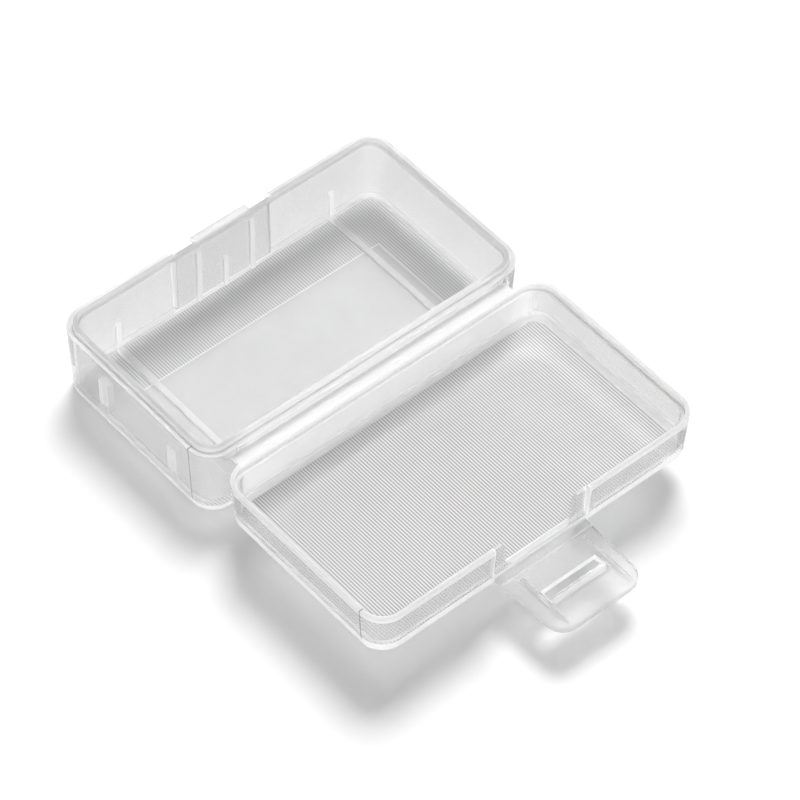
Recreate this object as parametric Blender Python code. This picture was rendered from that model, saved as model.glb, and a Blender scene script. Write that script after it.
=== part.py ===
"""Battery case moulded in one piece: tray, folding hinge strip, lid and latch flap, opened flat.

The origin is the middle of the tray's underside. +X runs along the case, +Y from the hinge to
the tray's latch wall, and +Z up. The lid lies on the -Y side, level with the tray's shoulder.
"""

import math

import bmesh
import bpy
from mathutils import Matrix, Vector

MM = 0.001

# Outside of the case, shared by the tray and the lid
CASE_LENGTH = 58.0 * MM
CASE_WIDTH = 33.8 * MM
CORNER_RADIUS = 4.1 * MM
WALL_DRAFT = 0.5 * MM
FOOT_ROUND = 0.4 * MM

# Tray: a shoulder that the lid's rim rests on, and a lip that stands up inside it
TRAY_HEIGHT = 12.3 * MM
TRAY_FLOOR = 1.0 * MM
SHOULDER_WIDTH = 0.82 * MM
LIP_THICKNESS = 0.9 * MM
LIP_HEIGHT = 0.6 * MM
FLOOR_FILLET = 0.6 * MM

# Lid: a rim ring that drops round the tray's lip, with a step above the lip
LID_HEIGHT = 7.5 * MM
LID_FLOOR = 0.9 * MM
LID_WALL = 1.28 * MM
LIP_SIDE_CLEARANCE = 0.1 * MM
LIP_TOP_CLEARANCE = 0.15 * MM

# Hinge strip between the two folds
HINGE_GAP = 2.4 * MM
HINGE_LENGTH = 49.5 * MM
HINGE_THICKNESS = 0.5 * MM
HINGE_SAG = 0.15 * MM
HINGE_FACE_CLEARANCE = 0.1 * MM
CLOSED_RIM_GAP = 0.1 * MM
PIECE_GAP = 0.3 * MM

# Ribs across the tray's floor that climb the latch wall
DIVIDER_SPACING = 39.0 * MM
DIVIDER_WIDTH = 0.95 * MM
DIVIDER_HEIGHT = 0.5 * MM
DIVIDER_WALL_HEIGHT = 7.0 * MM

# Ribs that stiffen the latch wall from inside
LATCH_RIB_SPACING = 4.84 * MM
LATCH_RIB_WIDTH = 0.9 * MM
LATCH_RIB_DEPTH = 0.4 * MM
SHORT_RIB_HEIGHT = 7.2 * MM
TALL_RIB_DROP = 0.8 * MM

# Bars that keep the cell's terminal end off the left end wall
END_BAR_SPACING = 19.0 * MM
END_BAR_WIDTH = 1.0 * MM
END_BAR_DEPTH = 1.2 * MM
END_BAR_LOW = 2.3 * MM
END_BAR_HIGH = 10.0 * MM

# Latch recess and catch ledge on the outside of the tray's latch wall
TRAY_RECESS_WIDTH = 17.4 * MM
TRAY_RECESS_DEPTH = 1.15 * MM
RECESS_CORNER = 0.4 * MM
LEDGE_WIDTH = 10.0 * MM
LEDGE_THICKNESS = 0.75 * MM
LEDGE_BELOW_LIP = 0.05 * MM
LEDGE_SETBACK = 0.1 * MM

# Latch recess and notch in the lid's front wall
LID_RECESS_WIDTH = 16.8 * MM
LID_RECESS_DEPTH = 0.78 * MM
NOTCH_WIDTH = 12.2 * MM
NOTCH_SILL = 1.8 * MM
NOTCH_CORNER = 1.0 * MM
NOTCH_TOP_ROUND = 2.4 * MM

# Latch flap: guide ribs pass each side of the ledge, and the hook bar catches under it
FLAP_LENGTH = 12.2 * MM
FLAP_ROOT_WIDTH = 16.4 * MM
FLAP_TIP_WIDTH = 15.4 * MM
FLAP_THICKNESS = 1.0 * MM
FLAP_CORNER = 2.75 * MM
HOOK_WIDTH = 0.9 * MM
HOOK_HEIGHT = 0.9 * MM
HOOK_END_CLEARANCE = 0.1 * MM
HOOK_CATCH_CLEARANCE = 0.15 * MM
SLOT_LENGTH = 2.1 * MM
GUIDE_RIB_WIDTH = 0.6 * MM
GUIDE_RIB_HEIGHT = 0.5 * MM
GUIDE_RIB_CLEARANCE = 0.3 * MM
GUIDE_RIB_START = 1.8 * MM
GUIDE_RIB_END = 1.0 * MM
CREASE_FROM_ROOT = 0.8 * MM
CREASE_DEPTH = 0.2 * MM

# Fine grooves moulded into both undersides
GROOVE_PITCH = 0.46 * MM
GROOVE_DEPTH = 0.19 * MM
TRAY_GROOVE_MARGIN = 1.7 * MM
LID_GROOVE_MARGIN = 2.6 * MM
SMOOTH_PATCH_LENGTH = 43.2 * MM
SMOOTH_PATCH_BACK = 6.9 * MM

# How far joined shapes reach into each other, and cutters past what they cut
JOIN_OVERLAP = 0.25 * MM
CUTTER_OVERRUN = 1.0 * MM
NOTCH_TOP_OFFSET = 0.02 * MM

WELD_DISTANCE = 0.001 * MM

CORNER_SEGMENTS = 8
FILLET_SEGMENTS = 3
ARC_STEPS = 6
SHARP_ANGLE = math.radians(30.0)

# Heights and places that follow from the sizes above
LIP_TOP = TRAY_HEIGHT + LIP_HEIGHT
TRAY_WALL = SHOULDER_WIDTH + LIP_THICKNESS
HINGE_SIDE = -CASE_WIDTH / 2
LID_REAR = HINGE_SIDE - HINGE_GAP
LID_FRONT = LID_REAR - CASE_WIDTH
LID_MIDDLE = LID_REAR - CASE_WIDTH / 2
LID_BOTTOM = TRAY_HEIGHT - LID_HEIGHT
FOLD_HEIGHT = TRAY_HEIGHT + CLOSED_RIM_GAP / 2 - HINGE_GAP / 2
RIM_RING = SHOULDER_WIDTH - LIP_SIDE_CLEARANCE
RABBET_DEPTH = LIP_HEIGHT + LIP_TOP_CLEARANCE
FLAP_TOP = LID_BOTTOM + FLAP_THICKNESS
FLAP_ROOT = LID_FRONT - PIECE_GAP
LEDGE_TOP = LIP_TOP - LEDGE_BELOW_LIP
LEDGE_BOTTOM = LEDGE_TOP - LEDGE_THICKNESS
CLOSED_PIVOT_HEIGHT = 2 * FOLD_HEIGHT + HINGE_GAP - FLAP_TOP
HOOK_FROM_ROOT = CLOSED_PIVOT_HEIGHT - LEDGE_BOTTOM + HOOK_CATCH_CLEARANCE

# Which way an outline's own x, y and thickness point once it is laid in a plane
UPRIGHT_IN_XY = Matrix.Identity(4)
PROFILE_IN_YZ = Matrix(((0, 0, 1, 0), (1, 0, 0, 0), (0, 1, 0, 0), (0, 0, 0, 1)))
PROFILE_IN_XZ = Matrix(((1, 0, 0, 0), (0, 0, -1, 0), (0, 1, 0, 0), (0, 0, 0, 1)))

# Translucent plastic
PLASTIC = (0.83, 0.84, 0.85, 1.0)
PLASTIC_ALPHA = 0.75
SHELL_ROUGHNESS = 0.35
STRIP_ROUGHNESS = 0.25


def clear_scene():
    """Empty the scene of objects, so that only the case is in it."""
    for old in list(bpy.data.objects):
        bpy.data.objects.remove(old, do_unlink=True)


def new_collection(name):
    """Make a collection and link it to the scene."""
    collection = bpy.data.collections.new(name)
    bpy.context.scene.collection.children.link(collection)
    return collection


def add_object(name, bm, collection):
    """Turn a bmesh into an object with its faces pointing outwards."""
    bmesh.ops.recalc_face_normals(bm, faces=bm.faces)
    mesh = bpy.data.meshes.new(name)
    bm.to_mesh(mesh)
    bm.free()
    created = bpy.data.objects.new(name, mesh)
    collection.objects.link(created)
    return created


def add_tool(name, bm):
    """Make a helper solid that a Boolean joins or cuts with."""
    tool = add_object(name, bm, TOOLS)
    tool.hide_render = True
    tool.display_type = "WIRE"
    return tool


def boolean(target, tool, operation):
    """Join a helper solid to the target, or cut it away."""
    modifier = target.modifiers.new(tool.name, "BOOLEAN")
    modifier.operation = operation
    modifier.object = tool
    modifier.solver = "EXACT"


def box_mesh(low, high):
    """A box between two corners."""
    bm = bmesh.new()
    bmesh.ops.create_cube(bm, size=1.0)
    size = [high[axis] - low[axis] for axis in range(3)]
    middle = [(high[axis] + low[axis]) / 2 for axis in range(3)]
    bmesh.ops.scale(bm, vec=size, verts=bm.verts)
    bmesh.ops.translate(bm, vec=middle, verts=bm.verts)
    return bm


def is_upright(edge):
    """Whether an edge runs along Z."""
    along = edge.verts[1].co - edge.verts[0].co
    return abs(along.z) > abs(along.x) + abs(along.y)


def round_edges(bm, edges, radius, segments):
    """Round some of a shape's edges."""
    bmesh.ops.bevel(bm, geom=edges, offset=radius, segments=segments, profile=0.5, affect="EDGES")


def rounded_box_mesh(length, width, middle_y, bottom, top, radius, draft=0.0, foot=0.0):
    """A box with round upright corners, drawn in by draft at its foot, whose foot edge is round."""
    half = Vector((length / 2, width / 2, 0.0))
    bm = box_mesh((-half.x, -half.y, bottom), (half.x, half.y, top))
    round_edges(bm, [edge for edge in bm.edges if is_upright(edge)], radius, CORNER_SEGMENTS)
    low_verts = [vert for vert in bm.verts if vert.co.z < (bottom + top) / 2]
    shrink = ((length - 2 * draft) / length, (width - 2 * draft) / width, 1.0)
    bmesh.ops.scale(bm, vec=shrink, verts=low_verts)
    if foot:
        low = set(low_verts)
        foot_edges = [edge for edge in bm.edges if set(edge.verts) <= low]
        round_edges(bm, foot_edges, foot, FILLET_SEGMENTS)
    bmesh.ops.translate(bm, vec=(0.0, middle_y, 0.0), verts=bm.verts)
    return bm


def rounded_outline(corners):
    """Points of an outline whose corners (u, v, radius) are rounded by arcs."""
    points = []
    for index, (u, v, radius) in enumerate(corners):
        corner = Vector((u, v))
        if not radius:
            points.append(corner)
            continue
        before = (Vector(corners[index - 1][:2]) - corner).normalized()
        after = (Vector(corners[(index + 1) % len(corners)][:2]) - corner).normalized()
        half_angle = before.angle(after) / 2
        reach = radius / math.tan(half_angle)
        centre = corner + (before + after).normalized() * (radius / math.sin(half_angle))
        start = corner + before * reach - centre
        turn = start.angle_signed(corner + after * reach - centre)
        for step in range(ARC_STEPS + 1):
            angle = -turn * step / ARC_STEPS
            points.append(centre + Matrix.Rotation(angle, 2) @ start)
    return points


def prism_mesh(corners, thickness, plane, place):
    """A flat outline given a thickness, laid in a plane, with its middle at a place."""
    curve = bpy.data.curves.new("outline", "CURVE")
    curve.dimensions = "2D"
    curve.fill_mode = "BOTH"
    curve.extrude = thickness / 2
    spline = curve.splines.new("POLY")
    points = rounded_outline(corners)
    spline.points.add(len(points) - 1)
    for target, point in zip(spline.points, points):
        target.co = (point.x, point.y, 0.0, 1.0)
    spline.use_cyclic_u = True
    drawn = bpy.data.objects.new("outline", curve)
    TOOLS.objects.link(drawn)
    graph = bpy.context.evaluated_depsgraph_get()
    mesh = bpy.data.meshes.new_from_object(drawn.evaluated_get(graph))
    bm = bmesh.new()
    bm.from_mesh(mesh)
    bmesh.ops.remove_doubles(bm, verts=bm.verts, dist=WELD_DISTANCE)
    bmesh.ops.transform(bm, matrix=Matrix.Translation(place) @ plane, verts=bm.verts)
    bpy.data.objects.remove(drawn, do_unlink=True)
    bpy.data.meshes.remove(mesh)
    return bm


def merged(meshes):
    """Several separate solids as one bmesh."""
    whole = bmesh.new()
    for bm in meshes:
        step = bpy.data.meshes.new("step")
        bm.to_mesh(step)
        bm.free()
        whole.from_mesh(step)
        bpy.data.meshes.remove(step)
    return whole


def finish(part, colour, roughness):
    """Give a part its own plastic, and shade it smooth up to its sharp edges."""
    material = bpy.data.materials.new(part.name + "_plastic")
    material.use_nodes = True
    surface = material.node_tree.nodes["Principled BSDF"]
    surface.inputs["Base Color"].default_value = colour
    surface.inputs["Roughness"].default_value = roughness
    surface.inputs["Metallic"].default_value = 0.0
    surface.inputs["Alpha"].default_value = PLASTIC_ALPHA
    part.data.materials.append(material)
    part.data.shade_smooth()
    part.data.set_sharp_from_angle(angle=SHARP_ANGLE)


def groove_run(low_x, high_x, low_y, high_y, height):
    """V grooves along Y, one each pitch, cut up into an underside at a height."""
    count = int((high_x - low_x) / GROOVE_PITCH)
    first = (low_x + high_x) / 2 - (count - 1) * GROOVE_PITCH / 2
    diamond = [(-GROOVE_DEPTH, 0.0, 0.0), (0.0, -GROOVE_DEPTH, 0.0)]
    diamond += [(GROOVE_DEPTH, 0.0, 0.0), (0.0, GROOVE_DEPTH, 0.0)]
    runs = []
    for index in range(count):
        place = Vector((first + index * GROOVE_PITCH, (low_y + high_y) / 2, height))
        runs.append(prism_mesh(diamond, high_y - low_y, PROFILE_IN_XZ, place))
    return runs


def tray_grooves():
    """The tray's grooves run its whole floor but for a smooth patch on the hinge side."""
    end = CASE_LENGTH / 2 - TRAY_GROOVE_MARGIN
    side = CASE_WIDTH / 2 - TRAY_GROOVE_MARGIN
    patch = SMOOTH_PATCH_LENGTH / 2
    runs = groove_run(-end, -patch, -side, side, 0.0)
    runs += groove_run(-patch, patch, SMOOTH_PATCH_BACK, side, 0.0)
    runs += groove_run(patch, end, -side, side, 0.0)
    return merged(runs)


def lid_grooves():
    """The lid's grooves cover its whole floor."""
    end = CASE_LENGTH / 2 - LID_GROOVE_MARGIN
    side = CASE_WIDTH / 2 - LID_GROOVE_MARGIN
    return merged(groove_run(-end, end, LID_MIDDLE - side, LID_MIDDLE + side, LID_BOTTOM))


def divider_rib_mesh(x):
    """An L-shaped rib: across the floor, then up the latch wall."""
    wall = CASE_WIDTH / 2 - TRAY_WALL
    low = TRAY_FLOOR - JOIN_OVERLAP
    top = TRAY_FLOOR + DIVIDER_HEIGHT
    corners = [
        (-wall - JOIN_OVERLAP, low, 0.0),
        (wall + JOIN_OVERLAP, low, 0.0),
        (wall + JOIN_OVERLAP, DIVIDER_WALL_HEIGHT, 0.0),
        (wall - DIVIDER_HEIGHT, DIVIDER_WALL_HEIGHT - DIVIDER_HEIGHT, 0.0),
        (wall - DIVIDER_HEIGHT, top, FLOOR_FILLET),
        (-wall - JOIN_OVERLAP, top, 0.0),
    ]
    return prism_mesh(corners, DIVIDER_WIDTH, PROFILE_IN_YZ, Vector((x, 0.0, 0.0)))


def latch_rib_mesh(x, height):
    """A low rib up the inside of the latch wall, with a sloping top."""
    wall = CASE_WIDTH / 2 - TRAY_WALL
    low = TRAY_FLOOR - JOIN_OVERLAP
    corners = [
        (wall - LATCH_RIB_DEPTH, low, 0.0),
        (wall + JOIN_OVERLAP, low, 0.0),
        (wall + JOIN_OVERLAP, height, 0.0),
        (wall - LATCH_RIB_DEPTH, height - LATCH_RIB_DEPTH, 0.0),
    ]
    return prism_mesh(corners, LATCH_RIB_WIDTH, PROFILE_IN_YZ, Vector((x, 0.0, 0.0)))


def tray_ribs():
    """Both divider ribs, the three latch wall ribs and the two end bars."""
    tall = TRAY_HEIGHT - TALL_RIB_DROP
    ribs = [divider_rib_mesh(side * DIVIDER_SPACING / 2) for side in (-1, 1)]
    ribs += [latch_rib_mesh(side * LATCH_RIB_SPACING, tall) for side in (-1, 1)]
    ribs.append(latch_rib_mesh(0.0, SHORT_RIB_HEIGHT))
    wall = -CASE_LENGTH / 2 + TRAY_WALL
    for side in (-1, 1):
        y = side * END_BAR_SPACING / 2
        low = (wall - JOIN_OVERLAP, y - END_BAR_WIDTH / 2, END_BAR_LOW)
        high = (wall + END_BAR_DEPTH, y + END_BAR_WIDTH / 2, END_BAR_HIGH)
        ribs.append(box_mesh(low, high))
    return merged(ribs)


def ledge_mesh():
    """The catch ledge, rooted in the thin wall behind the latch recess."""
    outer = CASE_WIDTH / 2
    low = (-LEDGE_WIDTH / 2, outer - TRAY_RECESS_DEPTH - JOIN_OVERLAP, LEDGE_BOTTOM)
    high = (LEDGE_WIDTH / 2, outer - LEDGE_SETBACK, LEDGE_TOP)
    return box_mesh(low, high)


def make_tray():
    """The deep half of the case, which stands on its ribbed underside."""
    lip_length = CASE_LENGTH - 2 * SHOULDER_WIDTH
    lip_width = CASE_WIDTH - 2 * SHOULDER_WIDTH
    body = rounded_box_mesh(
        CASE_LENGTH, CASE_WIDTH, 0.0, 0.0, TRAY_HEIGHT, CORNER_RADIUS, WALL_DRAFT, FOOT_ROUND
    )
    tray = add_object("tray", body, CASE)
    lip = rounded_box_mesh(
        lip_length, lip_width, 0.0, TRAY_FLOOR, LIP_TOP, CORNER_RADIUS - SHOULDER_WIDTH
    )
    cavity = rounded_box_mesh(
        CASE_LENGTH - 2 * TRAY_WALL,
        CASE_WIDTH - 2 * TRAY_WALL,
        0.0,
        TRAY_FLOOR,
        LIP_TOP + CUTTER_OVERRUN,
        CORNER_RADIUS - TRAY_WALL,
        foot=FLOOR_FILLET,
    )
    recess_half = TRAY_RECESS_WIDTH / 2
    recess_face = CASE_WIDTH / 2 - TRAY_RECESS_DEPTH
    recess_outer = CASE_WIDTH / 2 + CUTTER_OVERRUN
    recess_corners = [
        (-recess_half, recess_face, RECESS_CORNER),
        (recess_half, recess_face, RECESS_CORNER),
        (recess_half, recess_outer, 0.0),
        (-recess_half, recess_outer, 0.0),
    ]
    recess_height = LIP_TOP + 2 * CUTTER_OVERRUN
    recess = prism_mesh(recess_corners, recess_height, UPRIGHT_IN_XY, Vector((0, 0, LIP_TOP / 2)))
    boolean(tray, add_tool("tray_lip", lip), "UNION")
    boolean(tray, add_tool("tray_cavity", cavity), "DIFFERENCE")
    boolean(tray, add_tool("tray_latch_recess", recess), "DIFFERENCE")
    boolean(tray, add_tool("catch_ledge", ledge_mesh()), "UNION")
    boolean(tray, add_tool("tray_ribs", tray_ribs()), "UNION")
    boolean(tray, add_tool("tray_grooves", tray_grooves()), "DIFFERENCE")
    finish(tray, PLASTIC, SHELL_ROUGHNESS)
    return tray


def notch_mesh():
    """Cutter for the lid's notch, whose top corners flare out to the rim."""
    half = NOTCH_WIDTH / 2
    sill = LID_BOTTOM + NOTCH_SILL
    rim = TRAY_HEIGHT + NOTCH_TOP_OFFSET
    flare = half + NOTCH_TOP_ROUND + NOTCH_TOP_OFFSET
    top = TRAY_HEIGHT + CUTTER_OVERRUN
    corners = [
        (-half, sill, NOTCH_CORNER),
        (half, sill, NOTCH_CORNER),
        (half, rim, NOTCH_TOP_ROUND),
        (flare, rim, 0.0),
        (flare, top, 0.0),
        (-flare, top, 0.0),
        (-flare, rim, 0.0),
        (-half, rim, NOTCH_TOP_ROUND),
    ]
    depth = LID_WALL + 2 * CUTTER_OVERRUN
    place = Vector((0.0, LID_FRONT + LID_WALL / 2, 0.0))
    return prism_mesh(corners, depth, PROFILE_IN_XZ, place)


def lid_recess_mesh():
    """Cutter for the shallow recess round the notch."""
    half = LID_RECESS_WIDTH / 2
    low = (-half, LID_FRONT - CUTTER_OVERRUN, LID_BOTTOM + NOTCH_SILL)
    high = (half, LID_FRONT + LID_RECESS_DEPTH, TRAY_HEIGHT + CUTTER_OVERRUN)
    return box_mesh(low, high)


def make_lid():
    """The shallow half of the case, open side up while the case lies open."""
    body = rounded_box_mesh(
        CASE_LENGTH,
        CASE_WIDTH,
        LID_MIDDLE,
        LID_BOTTOM,
        TRAY_HEIGHT,
        CORNER_RADIUS,
        WALL_DRAFT,
        FOOT_ROUND,
    )
    lid = add_object("lid", body, CASE)
    cavity = rounded_box_mesh(
        CASE_LENGTH - 2 * LID_WALL,
        CASE_WIDTH - 2 * LID_WALL,
        LID_MIDDLE,
        LID_BOTTOM + LID_FLOOR,
        TRAY_HEIGHT + CUTTER_OVERRUN,
        CORNER_RADIUS - LID_WALL,
        foot=FLOOR_FILLET,
    )
    rabbet = rounded_box_mesh(
        CASE_LENGTH - 2 * RIM_RING,
        CASE_WIDTH - 2 * RIM_RING,
        LID_MIDDLE,
        TRAY_HEIGHT - RABBET_DEPTH,
        TRAY_HEIGHT + 2 * CUTTER_OVERRUN,
        CORNER_RADIUS - RIM_RING,
    )
    boolean(lid, add_tool("lid_cavity", cavity), "DIFFERENCE")
    boolean(lid, add_tool("lid_rabbet", rabbet), "DIFFERENCE")
    boolean(lid, add_tool("lid_latch_recess", lid_recess_mesh()), "DIFFERENCE")
    boolean(lid, add_tool("lid_notch", notch_mesh()), "DIFFERENCE")
    boolean(lid, add_tool("lid_grooves", lid_grooves()), "DIFFERENCE")
    finish(lid, PLASTIC, SHELL_ROUGHNESS)
    return lid


def make_hinge_strip():
    """The strip between the two fold lines, a shallow trough just under the fold axes."""
    near = HINGE_SIDE - PIECE_GAP
    far = LID_REAR + PIECE_GAP
    top = FOLD_HEIGHT - HINGE_FACE_CLEARANCE
    corners = [
        (near, top, 0.0),
        ((near + far) / 2, top - HINGE_SAG, 0.0),
        (far, top, 0.0),
        (far, top - HINGE_THICKNESS, 0.0),
        (near, top - HINGE_THICKNESS, 0.0),
    ]
    strip = prism_mesh(corners, HINGE_LENGTH, PROFILE_IN_YZ, Vector((0.0, 0.0, 0.0)))
    hinge = add_object("hinge_strip", strip, CASE)
    finish(hinge, PLASTIC, STRIP_ROUGHNESS)
    return hinge


def guide_ribs():
    """Two low ribs that pass each side of the catch ledge."""
    inner = LEDGE_WIDTH / 2 + GUIDE_RIB_CLEARANCE
    start = FLAP_ROOT - GUIDE_RIB_START
    end = FLAP_ROOT - FLAP_LENGTH + GUIDE_RIB_END
    ribs = []
    for side in (-1, 1):
        edges = sorted((side * inner, side * (inner + GUIDE_RIB_WIDTH)))
        low = (edges[0], end, FLAP_TOP - JOIN_OVERLAP)
        high = (edges[1], start, FLAP_TOP + GUIDE_RIB_HEIGHT)
        ribs.append(box_mesh(low, high))
    return merged(ribs)


def flap_crease():
    """A fine V groove across the flap beside its fold."""
    diamond = [(-CREASE_DEPTH, 0.0, 0.0), (0.0, -CREASE_DEPTH, 0.0)]
    diamond += [(CREASE_DEPTH, 0.0, 0.0), (0.0, CREASE_DEPTH, 0.0)]
    length = FLAP_ROOT_WIDTH + 2 * CUTTER_OVERRUN
    place = Vector((0.0, FLAP_ROOT - CREASE_FROM_ROOT, FLAP_TOP))
    return prism_mesh(diamond, length, PROFILE_IN_YZ, place)


def make_latch_flap():
    """The latch flap: a plate with a slot, a hook bar past the slot, and two guide ribs."""
    root_half = FLAP_ROOT_WIDTH / 2
    tip_half = FLAP_TIP_WIDTH / 2
    tip = FLAP_ROOT - FLAP_LENGTH
    corners = [
        (root_half, FLAP_ROOT, 0.0),
        (-root_half, FLAP_ROOT, 0.0),
        (-tip_half, tip, FLAP_CORNER),
        (tip_half, tip, FLAP_CORNER),
    ]
    plate_place = Vector((0.0, 0.0, LID_BOTTOM + FLAP_THICKNESS / 2))
    plate = prism_mesh(corners, FLAP_THICKNESS, UPRIGHT_IN_XY, plate_place)
    flap = add_object("latch_flap", plate, CASE)
    hook_half = LEDGE_WIDTH / 2 - HOOK_END_CLEARANCE
    hook_face = FLAP_ROOT - HOOK_FROM_ROOT
    hook = box_mesh(
        (-hook_half, hook_face - HOOK_WIDTH, FLAP_TOP - JOIN_OVERLAP),
        (hook_half, hook_face, FLAP_TOP + HOOK_HEIGHT),
    )
    slot = box_mesh(
        (-hook_half, hook_face, LID_BOTTOM - CUTTER_OVERRUN),
        (hook_half, hook_face + SLOT_LENGTH, FLAP_TOP + HOOK_HEIGHT + CUTTER_OVERRUN),
    )
    boolean(flap, add_tool("flap_guide_ribs", guide_ribs()), "UNION")
    boolean(flap, add_tool("flap_hook_bar", hook), "UNION")
    boolean(flap, add_tool("flap_slot", slot), "DIFFERENCE")
    boolean(flap, add_tool("flap_crease", flap_crease()), "DIFFERENCE")
    finish(flap, PLASTIC, SHELL_ROUGHNESS)
    return flap


def hang_on_fold(name, part, place, carrier):
    """Put a part on an empty that lies on its fold axis, carried by the piece before it."""
    fold = bpy.data.objects.new(name, None)
    CASE.objects.link(fold)
    fold.parent = carrier
    carried_from = carrier["fold_place"] if carrier else (0.0, 0.0, 0.0)
    fold.location = Vector(place) - Vector(carried_from)
    fold["fold_place"] = place
    part.data.transform(Matrix.Translation(-Vector(place)))
    part.parent = fold
    return fold


clear_scene()
CASE = new_collection("battery_case")
TOOLS = new_collection("helpers")

make_tray()
tray_fold = hang_on_fold("tray_side_fold", make_hinge_strip(), (0.0, HINGE_SIDE, FOLD_HEIGHT), None)
lid_fold = hang_on_fold("lid_side_fold", make_lid(), (0.0, LID_REAR, FOLD_HEIGHT), tray_fold)
hang_on_fold("latch_fold", make_latch_flap(), (0.0, FLAP_ROOT, FLAP_TOP), lid_fold)
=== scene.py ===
# %% [markdown]
# # A battery case of clear, slightly hazy plastic
#
# The real object is one moulding that holds a block battery: a deep tray, a shallow lid, the thin
# web they fold on, and a latch flap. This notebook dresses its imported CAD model. Every size below
# is in the frame of that model: the origin is the middle of the tray's underside, +X runs along
# the case, +Y from the hinge to the tray's latch wall, and +Z up.

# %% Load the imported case
import math
from types import SimpleNamespace

import bmesh
import bpy
from mathutils import Matrix, Vector


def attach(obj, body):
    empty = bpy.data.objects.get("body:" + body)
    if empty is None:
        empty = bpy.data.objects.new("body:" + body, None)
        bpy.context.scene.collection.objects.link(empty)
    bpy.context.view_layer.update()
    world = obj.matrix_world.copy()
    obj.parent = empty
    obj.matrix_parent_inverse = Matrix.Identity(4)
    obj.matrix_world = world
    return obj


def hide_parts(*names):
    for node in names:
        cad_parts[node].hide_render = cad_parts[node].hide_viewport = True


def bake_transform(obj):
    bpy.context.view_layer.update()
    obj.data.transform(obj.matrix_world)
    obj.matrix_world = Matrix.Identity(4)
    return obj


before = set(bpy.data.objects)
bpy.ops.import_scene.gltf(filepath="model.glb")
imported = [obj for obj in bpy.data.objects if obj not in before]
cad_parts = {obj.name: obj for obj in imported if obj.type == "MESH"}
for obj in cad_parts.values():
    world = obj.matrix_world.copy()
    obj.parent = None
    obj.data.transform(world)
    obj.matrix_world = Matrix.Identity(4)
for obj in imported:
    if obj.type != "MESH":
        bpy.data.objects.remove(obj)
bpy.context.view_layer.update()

MM = 0.001

# %% [markdown]
# ## The camera
#
# A product photo like this one is taken from far away with a long lens, so the case's long edges
# stay almost parallel. A camera can be aimed by eye, with a Track To constraint, or from numbers.
# Here the numbers come from fitting the case's own edges to the picture, so the camera's own axes
# are built from them and written straight into its matrix.

# %% Aim a long lens at the open case
CAMERA_PLACE = Vector((-266.003, -329.475, 493.681)) * MM
CAMERA_FORWARD = Vector((0.42139553, 0.48510959, -0.76622092)).normalized()
CAMERA_UP = Vector((0.49120241, 0.58778313, 0.64283061))
FOCAL_LENGTH = 206.165
SENSOR_WIDTH = 36.0
NEAR_LIMIT = 0.05
FAR_LIMIT = 10.0


def look_matrix(place, forward, up):
    """A matrix that looks along forward from a place, with up roughly upwards."""
    right = forward.cross(up).normalized()
    true_up = right.cross(forward)
    turned = Matrix((right, true_up, -forward)).transposed().to_4x4()
    return Matrix.Translation(place) @ turned


lens = bpy.data.cameras.new("product_lens")
lens.lens = FOCAL_LENGTH
lens.sensor_width = SENSOR_WIDTH
lens.clip_start = NEAR_LIMIT
lens.clip_end = FAR_LIMIT
camera = bpy.data.objects.new("product_camera", lens)
camera.matrix_world = look_matrix(CAMERA_PLACE, CAMERA_FORWARD, CAMERA_UP)
bpy.context.scene.collection.objects.link(camera)
bpy.context.scene.camera = camera
print("camera height in mm:", round(camera.location.z / MM))

# %% [markdown]
# ## Sizes of the moulding
#
# The same values that the CAD model was built from, in millimetres. An inset is how far a surface
# lies inside the case's outer outline, so one list of insets and heights describes a whole wall.

# %% Name the driving sizes
CASE_LENGTH = 58.0
CASE_WIDTH = 33.8
CORNER_RADIUS = 4.1
WALL_DRAFT = 0.5
HINGE_GAP = 2.4

TRAY_HEIGHT = 12.3
TRAY_FLOOR = 1.0
SHOULDER_WIDTH = 0.82
LIP_TOP = 12.9
TRAY_WALL = 1.72

LID_BOTTOM = 4.8
LID_FLOOR = 5.7
LID_WALL = 1.28
RIM_RING = 0.72
RABBET_LEVEL = 11.55
NOTCH_SILL = 6.6

WEB_HALF_LENGTH = 24.75
TRAY_RECESS_HALF = 8.7
TRAY_RECESS_DEPTH = 1.15
LID_RECESS_HALF = 8.4
LID_RECESS_DEPTH = 0.78

HINGE_SIDE = -CASE_WIDTH / 2
LID_REAR = HINGE_SIDE - HINGE_GAP
LID_MIDDLE = LID_REAR - CASE_WIDTH / 2
LID_FRONT = LID_REAR - CASE_WIDTH
print("lid from Y", round(LID_FRONT, 2), "to", round(LID_REAR, 2), "mm")

# %% [markdown]
# ## Clear plastic with a little haze
#
# Natural polypropylene is neither glass nor white paint: most of the light goes through a wall,
# and some is scattered inside it. Volume scattering would be true to nature, but slow and noisy in
# walls this thin. Here a Principled shader lets most light through and gives a share back as white
# scatter, which is the haze. It varies a little from place to place, as flow marks do. The
# refraction is set lower than the real 1.49, because a renderer stops following light after a few
# inner reflections and would turn thick rims dark. Alpha is a little lower for shadow rays, so
# that a wall doesn't stop all of a lamp's light.

# %% Node helpers
def number_or_link(tree, socket, value):
    """Give a socket a number, or link another node's output to it."""
    if isinstance(value, bpy.types.NodeSocket):
        tree.links.new(value, socket)
    else:
        socket.default_value = value


def calculate(tree, operation, first, second=0.0):
    """The output of one Math node."""
    node = tree.nodes.new("ShaderNodeMath")
    node.operation = operation
    number_or_link(tree, node.inputs[0], first)
    number_or_link(tree, node.inputs[1], second)
    return node.outputs["Value"]


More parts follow.
